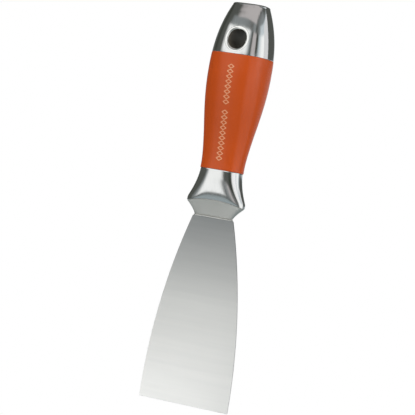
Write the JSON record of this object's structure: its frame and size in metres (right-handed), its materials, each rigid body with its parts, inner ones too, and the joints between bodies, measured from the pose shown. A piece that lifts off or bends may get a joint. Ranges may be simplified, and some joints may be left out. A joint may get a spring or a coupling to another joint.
{
  "type": "flexible putty knife",
  "caption": "Putty knife with a thin flared steel blade that flexes, a hollow polished steel handle with a soft orange grip band, and a hang hole through the butt.",
  "frame": {"origin": "centre of the hang hole through the butt of the handle", "axes": "+Z along the tool, up from the blade to the butt; -Y out of the front face, along the hang hole; +X to the right as the front is seen"},
  "size_m": [0.0508, 0.0252, 0.2083],
  "materials": {
    "polished_steel": "mirror polished stainless steel",
    "satin_steel": "satin ground stainless steel",
    "blade_steel": "fine cross-ground stainless spring steel",
    "orange_rubber": "matt orange elastomer"
  },
  "bodies": {
    "handle": {"front_shell": "polished_steel", "rear_shell": "polished_steel", "grip_sleeve": "orange_rubber", "hang_eyelet": "polished_steel", "front_bolster": "satin_steel", "rear_bolster": "satin_steel", "tang": "blade_steel", "tang_rivets": "satin_steel"},
    "blade": {"blade": "blade_steel"}
  },
  "joints": [
    {"name": "blade_flex", "type": "hinge", "parent": "handle", "child": "blade", "pos_m": [0, 0.00069, -0.10656], "axis": [1, 0, 0], "range_deg": [-25, 25], "stiffness_Nm_per_rad": 6.3}
  ]
}
